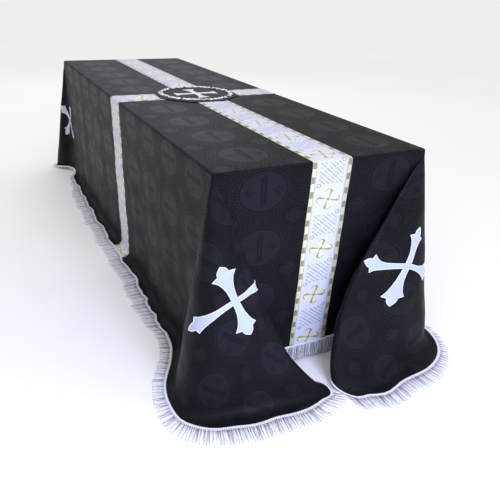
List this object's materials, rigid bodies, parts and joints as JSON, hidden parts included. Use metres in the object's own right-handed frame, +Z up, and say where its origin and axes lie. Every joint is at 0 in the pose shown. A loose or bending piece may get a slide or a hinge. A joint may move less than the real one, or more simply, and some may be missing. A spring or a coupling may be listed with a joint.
{
  "type": "funeral pall over a folding table",
  "caption": "Black fringed funeral pall with a cross of white bands, a round medallion and corner crosses, draped to the floor over a plain folding table.",
  "frame": {"origin": "on the floor, under the middle of the table", "axes": "+Z up, +Y along the table from the near end to the far end, +X across it to the right as seen from the near end"},
  "size_m": [1.2088, 3.143, 0.7505],
  "materials": {
    "black_brocade": "woven tone on tone, soft sheen",
    "band_silk": "woven band, ivory with gold",
    "cross_satin": "white satin, stitched edge",
    "medallion_velvet": "matt pile",
    "white_cord": "twisted cord embroidery",
    "fringe_yarn": "matt yarn",
    "table_board": "lightly textured",
    "table_steel": "satin grey"
  },
  "bodies": {
    "root": {"pall_cloth": "black_brocade", "band_length": "band_silk", "band_left": "band_silk", "band_right": "band_silk", "medallion_disc": "medallion_velvet", "medallion_wreath": "white_cord", "medallion_cross": "cross_satin", "cross_near_left": "cross_satin", "cross_near_right": "cross_satin", "cross_far_left": "cross_satin", "cross_far_right": "cross_satin", "fringe_near": "fringe_yarn", "fringe_near_right": "fringe_yarn", "fringe_right": "fringe_yarn", "fringe_far_right": "fringe_yarn", "fringe_far": "fringe_yarn", "fringe_far_left": "fringe_yarn", "fringe_left": "fringe_yarn", "fringe_near_left": "fringe_yarn", "table_top": "table_board", "rail_near": "table_steel", "rail_far": "table_steel", "leg_near_left": "table_steel", "leg_near_right": "table_steel", "leg_far_left": "table_steel", "leg_far_right": "table_steel", "bar_near": "table_steel", "bar_far": "table_steel", "brace_near": "table_steel", "brace_far": "table_steel"}
  },
  "joints": []
}
